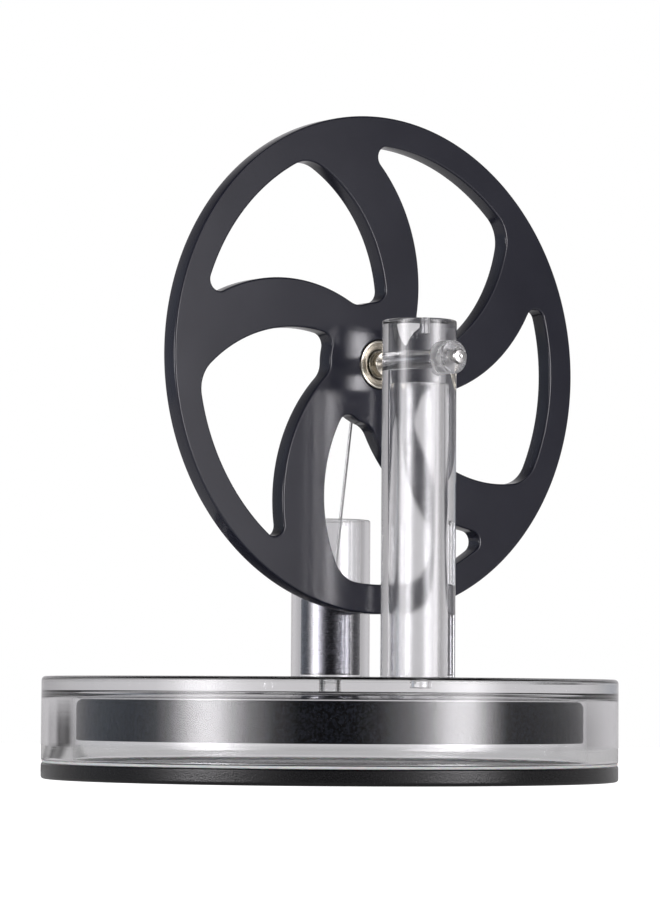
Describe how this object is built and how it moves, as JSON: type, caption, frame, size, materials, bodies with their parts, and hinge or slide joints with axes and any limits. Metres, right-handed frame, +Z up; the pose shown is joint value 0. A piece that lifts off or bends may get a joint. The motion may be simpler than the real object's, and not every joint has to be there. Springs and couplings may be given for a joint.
{
  "type": "low-temperature stirling engine",
  "caption": "Tabletop hot-air engine: clear displacer chamber on a dark plate, clear power cylinder and a post carrying a curved-spoke flywheel.",
  "frame": {"origin": "centre of the underside of the round base plate", "axes": "+Z up along the axis of the base and the power cylinder; the axle runs along Y and the support post stands in front of the flywheel on the -Y side; +X to the right seen from the front"},
  "size_m": [0.095, 0.095, 0.1085],
  "materials": {
    "plate": "black textured powder coat",
    "wheel": "satin black anodised",
    "clear": "polished clear acrylic",
    "gasket": "white foam tape",
    "foam": "dark rigid foam",
    "magnet": "nickel plated",
    "iron": "burnished dark iron",
    "steel": "polished steel",
    "wire": "drawn spring wire"
  },
  "bodies": {
    "frame": {"bottom_plate": "plate", "base_gasket": "gasket", "chamber_body": "clear", "power_cylinder": "clear", "support_post": "clear", "axle_bush": "clear", "axle": "steel", "axle_spacer": "steel", "axle_clip": "steel", "bearing_inner_ring": "steel"},
    "wheel": {"flywheel": "wheel", "bearing_outer_ring": "steel", "bearing_shield_front": "steel", "bearing_shield_rear": "steel", "crank_disc": "wheel", "crank_pin": "steel"},
    "ball_set": {"bearing_cage": "steel", "bearing_ball_1": "steel", "bearing_ball_2": "steel", "bearing_ball_3": "steel", "bearing_ball_4": "steel", "bearing_ball_5": "steel", "bearing_ball_6": "steel", "bearing_ball_7": "steel"},
    "rod": {"connecting_rod": "wire"},
    "piston": {"piston": "iron", "wrist_pin": "steel"},
    "displacer": {"displacer_disc": "foam", "displacer_magnet": "magnet"}
  },
  "joints": [
    {"name": "flywheel_spin", "type": "hinge", "parent": "frame", "child": "wheel", "pos_m": [0, -0.0117, 0.0678], "axis": [0, 1, 0], "continuous": true},
    {"name": "bearing_cage_spin", "type": "hinge", "parent": "frame", "child": "ball_set", "pos_m": [0, -0.0117, 0.0678], "axis": [0, 1, 0], "continuous": true},
    {"name": "connecting_rod_pivot", "type": "hinge", "parent": "wheel", "child": "rod", "pos_m": [0, -0.0063, 0.06505], "axis": [0, 1, 0], "continuous": true},
    {"name": "piston_slide", "type": "slide", "parent": "frame", "child": "piston", "axis": [0, 0, 1], "range_m": [0, 0.0055]},
    {"name": "displacer_slide", "type": "slide", "parent": "frame", "child": "displacer", "axis": [0, 0, 1], "range_m": [-0.0032, 0]}
  ],
  "couplings": [
    {"joint": "bearing_cage_spin", "follows": "flywheel_spin", "ratio": 0.6091},
    {"joint": "connecting_rod_pivot", "follows": "flywheel_spin", "ratio": -1}
  ]
}
